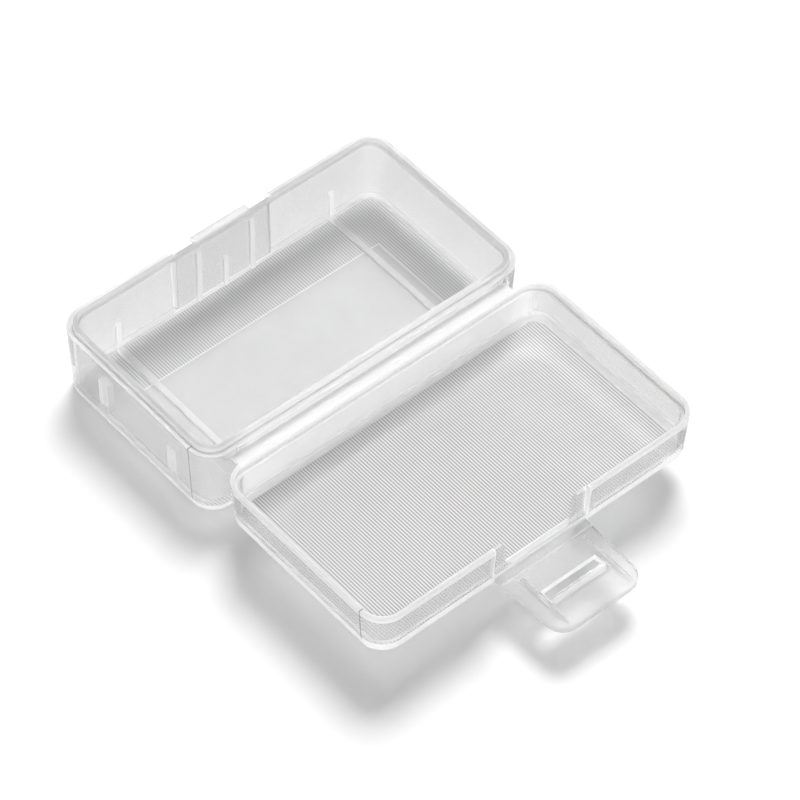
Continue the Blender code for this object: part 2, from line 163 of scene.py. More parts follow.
def climb(tree, value, low, high, to_low=0.0, to_high=1.0):
    """The output of a soft climb from to_low to to_high while a value goes from low to high."""
    node = tree.nodes.new("ShaderNodeMapRange")
    node.interpolation_type = "SMOOTHSTEP"
    node.inputs["From Min"].default_value = low
    node.inputs["From Max"].default_value = high
    node.inputs["To Min"].default_value = to_low
    node.inputs["To Max"].default_value = to_high
    tree.links.new(value, node.inputs["Value"])
    return node.outputs["Result"]


def noise(tree, place, scale, detail):
    """Cloudy noise, with so many blobs a metre."""
    node = tree.nodes.new("ShaderNodeTexNoise")
    node.inputs["Scale"].default_value = scale
    node.inputs["Detail"].default_value = detail
    tree.links.new(place, node.inputs["Vector"])
    return node.outputs["Fac"]


# %% Fine grain, and easier shadows
GRAIN_PER_METRE = 1400.0
GRAIN_DETAIL = 2.0
GRAIN_LOW = 0.3
GRAIN_HIGH = 0.7
GLOSS_FINE = 0.03
GLOSS_COARSE = 0.06
GRAIN_BUMP = 0.04
GRAIN_DEPTH = 0.02
SHADOW_CLEARNESS = 0.12


def add_grain(tree, surface, place):
    """Let fine grain change the gloss and, very faintly, the surface itself."""
    grain = noise(tree, place, GRAIN_PER_METRE, GRAIN_DETAIL)
    gloss = climb(tree, grain, GRAIN_LOW, GRAIN_HIGH, GLOSS_FINE, GLOSS_COARSE)
    tree.links.new(gloss, surface.inputs["Roughness"])
    bump = tree.nodes.new("ShaderNodeBump")
    bump.inputs["Strength"].default_value = GRAIN_BUMP
    bump.inputs["Distance"].default_value = GRAIN_DEPTH * MM
    tree.links.new(grain, bump.inputs["Height"])
    tree.links.new(bump.outputs["Normal"], surface.inputs["Normal"])


def ease_shadows(tree, surface):
    """Let a share of the lamps' light pass each surface."""
    ray = tree.nodes.new("ShaderNodeLightPath")
    loss = calculate(tree, "MULTIPLY", ray.outputs["Is Shadow Ray"], SHADOW_CLEARNESS)
    tree.links.new(calculate(tree, "SUBTRACT", 1.0, loss), surface.inputs["Alpha"])


# %% Make one hazy plastic
PLASTIC_IOR = 1.15
PLASTIC_WHITE = 0.88
RIM_CLEARNESS = 0.25
FLOW_MARKS_PER_METRE = 90.0
FLOW_DETAIL = 3.0
FLOW_LOW = 0.35
FLOW_HIGH = 0.65
FLOW_SHARE = 0.01


def hazy_plastic(name, clearness, details=None, white=PLASTIC_WHITE):
    """Plastic that lets a share of light through. Details give its haze, and its grey with painted
    light and shade, by place.
    """
    material = bpy.data.materials.new(name)
    material.use_nodes = True
    tree = material.node_tree
    surface = tree.nodes["Principled BSDF"]
    surface.inputs["Base Color"].default_value = (white, white, white, 1.0)
    surface.inputs["IOR"].default_value = PLASTIC_IOR
    place = tree.nodes.new("ShaderNodeTexCoord").outputs["Object"]
    flow = noise(tree, place, FLOW_MARKS_PER_METRE, FLOW_DETAIL)
    least, most = clearness - FLOW_SHARE, clearness + FLOW_SHARE
    clear = climb(tree, flow, FLOW_LOW, FLOW_HIGH, least, most)
    if details:
        haze, grey = details(tree, place)
        loss = calculate(tree, "MULTIPLY", haze, clearness - RIM_CLEARNESS)
        clear = calculate(tree, "SUBTRACT", clear, loss)
        tree.links.new(grey, surface.inputs["Base Color"])
    tree.links.new(clear, surface.inputs["Transmission Weight"])
    add_grain(tree, surface, place)
    ease_shadows(tree, surface)
    print("plastic:", name, "clearness:", clearness)
    return material


# %% [markdown]
# ## Where the plastic looks whiter or darker
#
# On the real case the haze isn't even. Rims, feet and the ends of the latch recess look whiter,
# because more plastic lies along the view there. The wall that the web grows from looks whiter too,
# and the tops of the floors look frosted. The shader makes these places hazier, and paints the grey
# of the feet, the recess's ends and the web's wall lighter, as painted light. This could be painted
# by hand as vertex colours. Here it is worked out from each point's own place on the case, so it
# follows the sizes above. A mask is 1 on its feature and falls softly to 0 beside it. Painted shade
# is laid on the same way: a darker grey on the walls' inner faces and over the smooth patch, and a
# thin dark upright and a dark arc on round corners, because the weak refraction can't bring those
# dark lines about.

# %% Helpers for masks
def calculate_place(tree, operation, first, second=(0.0, 0.0, 0.0)):
    """The output of one Vector Math node."""
    node = tree.nodes.new("ShaderNodeVectorMath")
    node.operation = operation
    number_or_link(tree, node.inputs[0], first)
    number_or_link(tree, node.inputs[1], second)
    return node.outputs["Value" if operation == "LENGTH" else "Vector"]


def rises(tree, value, low, high):
    """0 below low, and 1 above high."""
    return climb(tree, value, low * MM, high * MM)


def falls(tree, value, low, high):
    """1 below low, and 0 above high."""
    return climb(tree, value, low * MM, high * MM, 1.0, 0.0)


def away_from(tree, value, middle):
    """How far a value lies from a middle, to either side."""
    return calculate(tree, "ABSOLUTE", calculate(tree, "SUBTRACT", value, middle * MM))


def highest(tree, first, *others):
    """The highest of several outputs."""
    for other in others:
        first = calculate(tree, "MAXIMUM", first, other)
    return first


def all_of(tree, first, *others):
    """The product of several masks."""
    for other in others:
        first = calculate(tree, "MULTIPLY", first, other)
    return first


# %% Find a place on a shell
def case_inset(tree, centred):
    """How far a place lies inside the case's round outline, seen from above."""
    far_above = 1.0
    corner_x = (CASE_LENGTH / 2 - CORNER_RADIUS) * MM
    corner_y = (CASE_WIDTH / 2 - CORNER_RADIUS) * MM
    folded = calculate_place(tree, "ABSOLUTE", centred)
    past = calculate_place(tree, "SUBTRACT", folded, (corner_x, corner_y, far_above))
    past = calculate_place(tree, "MAXIMUM", past)
    distance = calculate_place(tree, "LENGTH", past)
    return calculate(tree, "SUBTRACT", CORNER_RADIUS * MM, distance)


def spot_on_shell(tree, place, shell):
    """X, Y and Z from a shell's middle, Y towards its latch, and the inset from the outline."""
    centred = calculate_place(tree, "SUBTRACT", place, (0.0, shell.middle_y * MM, 0.0))
    parts = tree.nodes.new("ShaderNodeSeparateXYZ")
    tree.links.new(centred, parts.inputs["Vector"])
    x, y, z = parts.outputs["X"], parts.outputs["Y"], parts.outputs["Z"]
    to_latch = calculate(tree, "MULTIPLY", y, shell.latch_turn)
    along = calculate(tree, "ABSOLUTE", x)
    inset = case_inset(tree, centred)
    return SimpleNamespace(x=x, y=y, z=z, along=along, to_latch=to_latch, inset=inset)


# %% Masks for rim, foot and walls
RIM_FADE = 0.15
RIM_LINE_NEAR = 0.06
RIM_LINE_FAR = 0.22
RIM_TOP_HAZE = 0.75
FOOT_WIDTH = 1.7
FOOT_FADE = 0.6
INSIDE_INSET = 1.0
INSIDE_FADE = 0.1


def rim_mask(tree, spot, shell):
    """1 along each edge on top of the rim, and a little less between them."""
    lines = []
    for edge in shell.rim_edges:
        away = away_from(tree, spot.inset, edge)
        line = climb(tree, away, RIM_LINE_NEAR * MM, RIM_LINE_FAR * MM, 1.0, RIM_TOP_HAZE)
        lines.append(line)
    top = rises(tree, spot.z, shell.rim_height - RIM_FADE, shell.rim_height)
    return all_of(tree, top, highest(tree, *lines))


def round_the_side(tree, spot):
    """1 from the outline to as far inside as the foot is wide."""
    return falls(tree, spot.inset, FOOT_WIDTH, FOOT_WIDTH + FOOT_FADE)


def foot_mask(tree, spot, shell):
    """1 on the foot all round the underside."""
    low = falls(tree, spot.z, shell.foot_top - RIM_FADE, shell.foot_top + RIM_FADE)
    return all_of(tree, round_the_side(tree, spot), low)


def wall_mask(tree, spot, shell):
    """1 on the walls, above the floor."""
    return rises(tree, spot.z, shell.floor_height, shell.floor_height + FOOT_FADE)


def inside_mask(tree, spot):
    """1 on the inner side of the walls."""
    return rises(tree, spot.inset, INSIDE_INSET - INSIDE_FADE, INSIDE_INSET + INSIDE_FADE)


# %% Masks for the web's wall and the recess's ends
WEB_WALL_FADE = 0.4
WEB_HAZE_FADE = 4.0
WEB_HAZE_CLIMB = 2.0
RECESS_END_REACH = 0.45


def web_wall_mask(tree, spot, shell):
    """1 on the wall that the web grows from, near the web."""
    outline = -CASE_WIDTH / 2
    across = falls(
        tree, spot.to_latch, outline + LID_WALL, outline + FOOT_WIDTH + WEB_WALL_FADE
    )
    beside = falls(tree, spot.along, shell.web_haze_reach - WEB_HAZE_FADE, shell.web_haze_reach)
    high = rises(tree, spot.z, shell.web_haze_from, shell.web_haze_from + WEB_HAZE_CLIMB)
    return all_of(tree, across, beside, high)


def recess_ends(tree, spot, shell):
    """1 at both ends of the recess in the latch wall."""
    away = away_from(tree, spot.along, shell.recess_half)
    near = falls(tree, away, RECESS_END_REACH / 2, RECESS_END_REACH)
    in_wall = falls(tree, away_from(tree, spot.to_latch, CASE_WIDTH / 2), LID_WALL, TRAY_WALL)
    return all_of(tree, near, in_wall)


# %% Masks for the painted dark upright and the painted dark arc
UPRIGHT_NEAR = 0.04
UPRIGHT_FAR = 0.13
END_WALL_DEPTH = 0.7
ARC_START = 0.6
ARC_FULL = 2.6
ARC_SIDE = 1.4
ARC_SKIN_NEAR = 0.55
ARC_SKIN_FAR = 0.65
ARC_TOP_NEAR = 0.9
ARC_TOP_FAR = 0.6


def dark_upright(tree, spot):
    """1 where the end wall at -X turns into the round corner at -Y, for a painted dark line."""
    away = away_from(tree, spot.y, CORNER_RADIUS - CASE_WIDTH / 2)
    thin = falls(tree, away, UPRIGHT_NEAR, UPRIGHT_FAR)
    end_wall = calculate(tree, "LESS_THAN", spot.x, (END_WALL_DEPTH - CASE_LENGTH / 2) * MM)
    return all_of(tree, thin, end_wall)


def dark_arc(tree, spot, shell):
    """1 on the outside of the round corner at +X and -Y, below the rim, for a painted dark arc."""
    start = CASE_LENGTH / 2 - CORNER_RADIUS + ARC_START
    right = rises(tree, spot.x, start, CASE_LENGTH / 2 - ARC_FULL)
    near = falls(tree, spot.y, ARC_SIDE - CASE_WIDTH / 2, CORNER_RADIUS - CASE_WIDTH / 2)
    outer = falls(tree, spot.inset, ARC_SKIN_NEAR, ARC_SKIN_FAR)
    top = shell.rim_height
    below_rim = falls(tree, spot.z, top - ARC_TOP_NEAR, top - ARC_TOP_FAR)
    return all_of(tree, right, near, outer, below_rim)


# %% Masks for the floors
GROOVE_PITCH = 0.44
STRIPE_SHARPNESS = 0.7
FLOOR_SKIN = 0.05
FLOOR_SLACK = 0.1
SMOOTH_PATCH_HALF = 21.6
SMOOTH_PATCH_BACK = 6.9
PATCH_EDGE = 0.22
PATCH_EDGE_HIGHLIGHT = 0.6


def floor_mask(tree, spot, shell):
    """1 on the top of the floor."""
    height = shell.floor_height
    above = rises(tree, spot.z, height - FLOOR_SLACK, height - FLOOR_SKIN)
    below = falls(tree, spot.z, height + FLOOR_SKIN, height + FLOOR_SLACK)
    inner = calculate(tree, "SUBTRACT", 1.0, round_the_side(tree, spot))
    return all_of(tree, above, below, inner)


def patch_masks(tree, spot, floor_top):
    """On the floor's top, 1 over the smooth patch, for painted shade, and a share of 1 along its
    edge, for a painted highlight.
    """
    along = calculate(tree, "SUBTRACT", spot.along, SMOOTH_PATCH_HALF * MM)
    across = calculate(tree, "SUBTRACT", spot.y, SMOOTH_PATCH_BACK * MM)
    past = calculate(tree, "MAXIMUM", along, across)
    patch = calculate(tree, "LESS_THAN", past, 0.0)
    edge = falls(tree, calculate(tree, "ABSOLUTE", past), PATCH_EDGE / 2, PATCH_EDGE)
    return all_of(tree, patch, floor_top), all_of(tree, edge, floor_top, PATCH_EDGE_HIGHLIGHT)


def painted_groove_lines(tree, spot):
    """0 to 1 across each groove and back: 1 where a groove's painted dark line lies."""
    turn = calculate(tree, "MULTIPLY", spot.x, 2.0 * math.pi / (GROOVE_PITCH * MM))
    wave = calculate(tree, "COSINE", turn)
    return climb(tree, wave, -STRIPE_SHARPNESS, STRIPE_SHARPNESS)


# %% [markdown]
# ## From masks to haze and grey
#
# Two values come out of the masks: the haze, which makes the plastic less clear, and the grey,
# which is the colour of what it scatters, with painted shade and painted light laid on it. Where
# features meet, the strongest haze wins, as a corner isn't hazier than its edges. The greys add up.
# The frosted floor tops hide much of the grooves beneath them, so the grooves' dark and bright
# lines are painted there in the grey, as painted shade and painted light.

# %% Mix the haze and the grey of a shell
WALL_HAZE = 0.14
WEB_WALL_HAZE = 0.85
FLOOR_HAZE = 0.44
UPRIGHT_HAZE = 0.6
ARC_HAZE = 0.7

# The greys below are painted shade and painted light laid on the plastic's white.
INSIDE_PAINTED_SHADE = 0.2
PAINTED_LIGHT = 0.1
GROOVE_LINE_LIGHT = 0.1
PATCH_PAINTED_SHADE = 0.1
UPRIGHT_PAINTED_SHADE = 0.6
ARC_PAINTED_SHADE = 0.5


def shell_masks(tree, spot, shell):
    """All the masks of one shell. Only the tray has a smooth patch."""
    masks = SimpleNamespace(rim=rim_mask(tree, spot, shell), foot=foot_mask(tree, spot, shell))
    masks.wall = wall_mask(tree, spot, shell)
    masks.by_web = web_wall_mask(tree, spot, shell)
    masks.web_wall = all_of(tree, masks.by_web, masks.wall)
    masks.recess_ends = all_of(tree, recess_ends(tree, spot, shell), masks.wall)
    masks.upright = all_of(tree, dark_upright(tree, spot), masks.wall)
    masks.arc = all_of(tree, dark_arc(tree, spot, shell), masks.wall)
    masks.floor_top = floor_mask(tree, spot, shell)
    masks.patch, masks.patch_edge = 0.0, 0.0
    if shell.has_patch:
        masks.patch, masks.patch_edge = patch_masks(tree, spot, masks.floor_top)
    return masks


def shell_haze(tree, masks):
    """The strongest haze at a place."""
    shares = (
        (masks.rim, 1.0),
        (masks.foot, 1.0),
        (masks.recess_ends, 1.0),
        (masks.patch_edge, 1.0),
        (masks.wall, WALL_HAZE),
        (masks.web_wall, WEB_WALL_HAZE),
        (masks.floor_top, FLOOR_HAZE),
        (masks.upright, UPRIGHT_HAZE),
        (masks.arc, ARC_HAZE),
    )
    return highest(tree, *[all_of(tree, mask, share) for mask, share in shares])


def shell_grey(tree, spot, masks, shell):
    """The plastic's white, made darker by painted shade and lighter by painted light at a place."""
    not_by_web = calculate(tree, "SUBTRACT", 1.0, masks.by_web)
    grooved_top = calculate(tree, "SUBTRACT", masks.floor_top, masks.patch)
    changes = (
        # Painted shade: the inner faces of the walls get a darker grey, except by the web.
        (all_of(tree, inside_mask(tree, spot), masks.wall, not_by_web), -INSIDE_PAINTED_SHADE),
        # Painted light: the feet, the web's wall and the recess's ends get a lighter grey.
        (highest(tree, masks.foot, masks.web_wall, masks.recess_ends), PAINTED_LIGHT),
        # Painted shade: a thin dark upright and a dark arc, standing in for refraction.
        (masks.upright, -UPRIGHT_PAINTED_SHADE),
        (masks.arc, -ARC_PAINTED_SHADE),
        # Painted highlight along the patch's edge, and painted shade over the patch.
        (masks.patch_edge, PAINTED_LIGHT),
        (masks.patch, -PATCH_PAINTED_SHADE),
        # Painted light on the grooved floor tops, and a painted dark line over each groove.
        (grooved_top, GROOVE_LINE_LIGHT),
        (all_of(tree, painted_groove_lines(tree, spot), grooved_top), -shell.stripe_depth),
    )
    grey = PLASTIC_WHITE
    for mask, change in changes:
        grey = calculate(tree, "ADD", grey, all_of(tree, mask, change))
    return grey


def shell_details(shell):
    """A shell's haze and grey, for hazy_plastic."""

    def details(tree, place):
        spot = spot_on_shell(tree, place, shell)
        masks = shell_masks(tree, spot, shell)
        return shell_haze(tree, masks), shell_grey(tree, spot, masks, shell)

    return details


# %% Make the plastics
SHELL_CLEARNESS = 0.85
FLAP_CLEARNESS = 0.78
# Painted shade: the flap's plastic is a little greyer than the rest of the moulding.
FLAP_SHADED_WHITE = 0.84
RIB_CLEARNESS = 0.55
# A whiter, hazier plastic for the slot's cut faces: a painted highlight round the slot.
EDGE_CLEARNESS = 0.3
SLOT_HIGHLIGHT_WHITE = 0.97
WEB_CLEARNESS = 0.3
WEB_WHITE = 0.885

tray_look = SimpleNamespace(
    middle_y=0.0,
    latch_turn=1.0,
    rim_height=TRAY_HEIGHT - 0.1,
    rim_edges=(0.0, SHOULDER_WIDTH, TRAY_WALL),
    floor_height=TRAY_FLOOR,
    foot_top=1.2,
    web_haze_from=8.0,
    web_haze_reach=WEB_HALF_LENGTH,
    recess_half=TRAY_RECESS_HALF,
    # How dark the painted groove lines are on the tray's floor top.
    stripe_depth=0.32,
    has_patch=True,
)
lid_look = SimpleNamespace(
    middle_y=LID_MIDDLE,
    latch_turn=-1.0,
    rim_height=RABBET_LEVEL,
    rim_edges=(0.0, RIM_RING, LID_WALL),
    floor_height=LID_FLOOR,
    foot_top=6.55,
    web_haze_from=LID_FLOOR,
    web_haze_reach=CASE_LENGTH / 2,
    recess_half=LID_RECESS_HALF,
    # How dark the painted groove lines are on the lid's floor top.
    stripe_depth=0.56,
    has_patch=False,
)
tray_plastic = hazy_plastic("tray_plastic", SHELL_CLEARNESS, shell_details(tray_look))
lid_plastic = hazy_plastic("lid_plastic", SHELL_CLEARNESS, shell_details(lid_look))
groove_plastic = hazy_plastic("groove_plastic", SHELL_CLEARNESS)
rib_plastic = hazy_plastic("rib_plastic", RIB_CLEARNESS)
flap_plastic = hazy_plastic("flap_plastic", FLAP_CLEARNESS, white=FLAP_SHADED_WHITE)
slot_highlight_plastic = hazy_plastic("slot_highlight_plastic", EDGE_CLEARNESS, white=SLOT_HIGHLIGHT_WHITE)
web_plastic = hazy_plastic("web_plastic", WEB_CLEARNESS, white=WEB_WHITE)

# %% [markdown]
# ## Walls as rings
#
# A tray could be a bevelled cube with its inside cut out, but every moulded edge then needs its
# own bevel. Instead the wall is drawn once as a path from the underside, over the rim, down to the
# floor. Each point of that path becomes one ring round the case, and the rings are joined. The
# path's corners are rounded with small curves, because moulded plastic has no knife edges and the
# bright lines of the photo are light caught in those roundings.

# %% Round the corners of a path
FILLET_STEPS = 4
ARC_HANDLE = 0.5523


def rounded_corner(before, corner, after, reach):
    """Points of a curve that replaces a corner, starting and ending a reach away from it."""
    if reach == 0.0:
        return [corner]
    start = corner + (before - corner).normalized() * reach
    end = corner + (after - corner).normalized() * reach
    first_handle = start.lerp(corner, ARC_HANDLE)
    second_handle = end.lerp(corner, ARC_HANDLE)
    points = []
    for step in range(FILLET_STEPS + 1):
        t = step / FILLET_STEPS
        near = start * (1 - t) ** 3 + first_handle * 3 * t * (1 - t) ** 2
        points.append(near + second_handle * 3 * t**2 * (1 - t) + end * t**3)
    return points


def rounded_path(corners):
    """A path through corners (u, v, reach), whose first and last only give the direction."""
    spots = [Vector(corner[:2]) for corner in corners]
    points = []
    for index in range(1, len(corners) - 1):
        reach = corners[index][2]
        points += rounded_corner(spots[index - 1], spots[index], spots[index + 1], reach)
    return points


def closed_path(corners):
    """The same for an outline that closes on itself, where every corner counts."""
    return rounded_path([corners[-1], *corners, corners[0]])


# %% Draw one ring, with its step into the latch recess
CORNER_STEPS = 16
STEP_RUN = 3.0


def recess_stations(depth, convex, concave):
    """Across the end of a recess: how far past its half width, and the share of its depth."""
    corners = [
        (STEP_RUN, 0.0, 0.0),
        (0.0, 0.0, convex),
        (0.0, depth, concave),
        (-STEP_RUN, depth, 0.0),
    ]
    return [(point.x, point.y / depth) for point in rounded_path(corners)]


def latch_side(half_width, stations, plain, recessed):
    """Points along the latch wall, stepping into the recess and out of it again."""
    points = []
    for side, order in ((1, stations), (-1, stations[::-1])):
        for past, share in order:
            inset, height = plain.lerp(recessed, share)
            points.append((side * (half_width + past), CASE_WIDTH / 2 - inset, height))
    return points


def wall_ring(plain, recessed, half_width, stations):
    """One ring round the case, whose latch side lies at +Y."""
    radius = CORNER_RADIUS - plain.x
    centre_x = CASE_LENGTH / 2 - CORNER_RADIUS
    centre_y = CASE_WIDTH / 2 - CORNER_RADIUS
    points = []
    for quarter, (side_x, side_y) in enumerate(((1, 1), (-1, 1), (-1, -1), (1, -1))):
        for step in range(CORNER_STEPS + 1):
            angle = math.radians(90 * (quarter + step / CORNER_STEPS))
            x = side_x * centre_x + radius * math.cos(angle)
            y = side_y * centre_y + radius * math.sin(angle)
            points.append((x, y, plain.y))
        if quarter == 0:
            points += latch_side(half_width, stations, plain, recessed)
    return points


# %% Join rings into a closed shell
def joined_rings(rings_of_points, far_cap=True):
    """Rings joined side by side, with a flat face on the first and, if wanted, the last."""
    bm = bmesh.new()
    rings = []
    for points in rings_of_points:
        rings.append([bm.verts.new(Vector(point) * MM) for point in points])
    count = len(rings[0])
    for low, high in zip(rings, rings[1:]):
        for index in range(count):
            after = (index + 1) % count
            bm.faces.new((low[index], low[after], high[after], high[index]))
    bm.faces.new(rings[0])
    if far_cap:
        bm.faces.new(rings[-1])
    return bm


def shell_mesh(wall, recess_wall, half_width, stations):
    """A closed shell with one ring for each point of the wall's path."""
    rings = []
    for plain, recessed in zip(wall, recess_wall):
        rings.append(wall_ring(plain, recessed, half_width, stations))
    return joined_rings(rings)


# %% [markdown]
# ## Solids that join and cut
#
# Ribs, the ledge, the notch and the grooves are small solids joined to a shell or cut out of it
# with exact Booleans. Modelling them into one mesh by hand would give cleaner faces but long code,
# and a see-through material only needs the surface to be closed and its edges rounded.

# %% Helpers for small solids
PIECES = bpy.data.collections.new("battery_case_pieces")
CUTTERS = bpy.data.collections.new("cutters")
bpy.context.scene.collection.children.link(PIECES)
bpy.context.scene.collection.children.link(CUTTERS)
EDGE_STEPS = 2


def add_piece(name, bm, collection, material):
    """Turn a bmesh into an object of one material, with its faces pointing outwards."""
    bmesh.ops.recalc_face_normals(bm, faces=bm.faces)
    mesh = bpy.data.meshes.new(name)
    bm.to_mesh(mesh)
    bm.free()
    mesh.materials.append(material)
    piece = bpy.data.objects.new(name, mesh)
    collection.objects.link(piece)
    return piece


def round_edges(bm, edges, reach):
    """Round some edges of a bmesh."""
    bmesh.ops.bevel(
        bm, geom=edges, offset=reach * MM, segments=EDGE_STEPS, profile=0.5, affect="EDGES"
    )


def slab_mesh(outline, low, high, edge, axes):
    """An outline given thickness from low to high, with its rims rounded by edge."""
    bm = bmesh.new()
    verts = []
    for point in outline:
        spot = [0.0, 0.0, 0.0]
        spot[axes[0]], spot[axes[1]], spot[axes[2]] = point[0], point[1], low
        verts.append(bm.verts.new(Vector(spot) * MM))
    face = bm.faces.new(verts)
    raised = bmesh.ops.extrude_face_region(bm, geom=[face])["geom"]
    top = [item for item in raised if isinstance(item, bmesh.types.BMVert)]
    shift = Vector((0.0, 0.0, 0.0))
    shift[axes[2]] = (high - low) * MM
    bmesh.ops.translate(bm, vec=shift, verts=top)
    if edge:
        rims = [rim for rim in bm.edges if (rim.verts[0] in top) == (rim.verts[1] in top)]
        round_edges(bm, rims, edge)
    bmesh.ops.recalc_face_normals(bm, faces=bm.faces)
    return bm


def rounded_box(low, high, edge):
    """A box between two corners, with all its edges rounded."""
    bm = bmesh.new()
    bmesh.ops.create_cube(bm, size=1.0)
    size = [(high[axis] - low[axis]) * MM for axis in range(3)]
    middle = [(high[axis] + low[axis]) / 2 * MM for axis in range(3)]
    bmesh.ops.scale(bm, vec=size, verts=bm.verts)
    bmesh.ops.translate(bm, vec=middle, verts=bm.verts)
    round_edges(bm, list(bm.edges), edge)
    return bm


def joined(solids):
    """Several separate solids as one bmesh."""
    whole = bmesh.new()
    for bm in solids:
        step = bpy.data.meshes.new("step")
        bm.to_mesh(step)
        bm.free()
        whole.from_mesh(step)
        bpy.data.meshes.remove(step)
    return whole


# %% Join, cut and settle
def combine(piece, name, bm, operation, material):
    """Join a solid to a piece, or cut it away. The new faces take the solid's material."""
    cutter = add_piece(name, bm, CUTTERS, material)
    cutter.hide_render = True
    modifier = piece.modifiers.new(name, "BOOLEAN")
    modifier.operation = operation
    modifier.object = cutter
    modifier.solver = "EXACT"
    modifier.material_mode = "TRANSFER"


def settle(piece):
    """Bake a piece's modifiers into its mesh, and drop its cutters."""
    graph = bpy.context.evaluated_depsgraph_get()
    baked = bpy.data.meshes.new_from_object(piece.evaluated_get(graph))
    used = [modifier.object for modifier in piece.modifiers if modifier.type == "BOOLEAN"]
    piece.modifiers.clear()
    raw = piece.data
    piece.data = baked
    baked.name = piece.name
    bpy.data.meshes.remove(raw)
    for cutter in used:
        bpy.data.objects.remove(cutter)
    print(piece.name, "faces:", len(baked.polygons))


# %% Shade smooth, with flats kept flat
SHARP_ANGLE = math.radians(34.0)
FLAT_WEIGHT = 100


def smooth(piece):
    """Smooth the roundings, keep real edges, and let big faces set the shading beside them."""
    piece.data.shade_smooth()
    piece.data.set_sharp_from_angle(angle=SHARP_ANGLE)
    weighted = piece.modifiers.new("flat_faces_stay_flat", "WEIGHTED_NORMAL")
    weighted.keep_sharp = True
    weighted.weight = FLAT_WEIGHT


# %% [markdown]
# ## The grooved undersides
#
# Both floors carry fine V grooves on the outside. Seen through the plastic, each flank of a groove
# bends the view to a different place, which gives dark and bright lines. A wave texture in a bump
# node could fake them, but only real grooves bend light and keep their look from every side, so
# each is cut with a long diamond. On the floors' tops the same lines are painted too, as painted
# shade and painted light. Their pitch was measured again on the picture after the CAD model was
# packed, and is a little finer here.

# %% Grooves
GROOVE_DEPTH = 0.19
GROOVE_MARGIN = 1.7


def groove_reach(x):
    """Half the length of a groove, which shrinks where the floor's corner is round."""
    past_straight = max(0.0, abs(x) - (CASE_LENGTH / 2 - CORNER_RADIUS))
    radius = CORNER_RADIUS - GROOVE_MARGIN
    straight = CASE_WIDTH / 2 - CORNER_RADIUS
    return straight + math.sqrt(max(0.0, radius**2 - past_straight**2))


def diamond(middle, height, reach):
    """Four corners round a point, whose lower or upper half cuts a V."""
    return [
        (middle - reach, height),
        (middle, height - reach),
        (middle + reach, height),
        (middle, height + reach),
    ]


def groove_run(low_x, high_x, middle_y, height, low_y=-math.inf):
    """V grooves along Y, one each pitch, at the height of an underside."""
    count = int((high_x - low_x) / GROOVE_PITCH)
    first = (low_x + high_x) / 2 - (count - 1) * GROOVE_PITCH / 2
    runs = []
    for index in range(count):
        x = first + index * GROOVE_PITCH
        start = max(low_y, middle_y - groove_reach(x))
        end = middle_y + groove_reach(x)
        runs.append(slab_mesh(diamond(x, height, GROOVE_DEPTH), start, end, 0.0, (0, 2, 1)))
    return runs


def tray_grooves():
    """The tray's grooves leave a smooth patch on the hinge side."""
    end = CASE_LENGTH / 2 - GROOVE_MARGIN
    runs = groove_run(-end, -SMOOTH_PATCH_HALF, 0.0, 0.0)
    runs += groove_run(-SMOOTH_PATCH_HALF, SMOOTH_PATCH_HALF, 0.0, 0.0, SMOOTH_PATCH_BACK)
    runs += groove_run(SMOOTH_PATCH_HALF, end, 0.0, 0.0)
    print("grooves under the tray:", len(runs))
    return joined(runs)


def lid_grooves():
    """The lid's grooves cover its whole floor."""
    end = CASE_LENGTH / 2 - GROOVE_MARGIN
    runs = groove_run(-end, end, LID_MIDDLE, LID_BOTTOM)
    print("grooves under the lid:", len(runs))
    return joined(runs)


# %% [markdown]
# ## The tray
#
# The tray's wall climbs from a rounded foot with a little draft, steps in at a shoulder that the
# lid's rim rests on, and ends in a thin lip. In the middle of the latch wall the outside is
# recessed over the full height, so the wall there is a single thin plate that carries the catch
# ledge. Both wall paths have the same number of points, so the rings can blend from one to the
# other at the recess's ends.

# %% Shape the tray's shell
UNDERSIDE_RING = 1.55
FLOOR_RING = 2.9
FAR_INSIDE = 8.0
FOOT_ROUND = 0.4
FLOOR_ROUND = 0.6
RIM_ROUND = 0.12
SHOULDER_ROUND = 0.08
LIP_OUTER_ROUND = 0.16
LIP_INNER_ROUND = 0.22
RECESS_EDGE_ROUND = 0.25
RECESS_CORNER_ROUND = 0.4
FLAT_RUN = 0.3
FLAT_ROUND = 0.1

tray_inside = [
    (TRAY_WALL, LIP_TOP, LIP_INNER_ROUND),
    (TRAY_WALL, TRAY_FLOOR, FLOOR_ROUND),
    (FLOOR_RING, TRAY_FLOOR, 0.0),
    (FAR_INSIDE, TRAY_FLOOR, 0.0),
]
tray_wall = rounded_path(
    [
        (FAR_INSIDE, 0.0, 0.0),
        (UNDERSIDE_RING, 0.0, 0.0),
        (WALL_DRAFT, 0.0, FOOT_ROUND),
        (0.0, TRAY_HEIGHT, RIM_ROUND),
        (SHOULDER_WIDTH, TRAY_HEIGHT, SHOULDER_ROUND),
        (SHOULDER_WIDTH, LIP_TOP, LIP_OUTER_ROUND),
        *tray_inside,
    ]
)
tray_recess_wall = rounded_path(
    [
        (FAR_INSIDE, 0.0, 0.0),
        (UNDERSIDE_RING, 0.0, 0.0),
        (TRAY_RECESS_DEPTH, 0.0, RECESS_EDGE_ROUND),
        (TRAY_RECESS_DEPTH, TRAY_HEIGHT - FLAT_RUN, FLAT_ROUND),
        (TRAY_RECESS_DEPTH, TRAY_HEIGHT, FLAT_ROUND),
        (TRAY_RECESS_DEPTH, LIP_TOP, LIP_OUTER_ROUND),
        *tray_inside,
    ]
)
tray_stations = recess_stations(TRAY_RECESS_DEPTH, RECESS_EDGE_ROUND, RECESS_CORNER_ROUND)
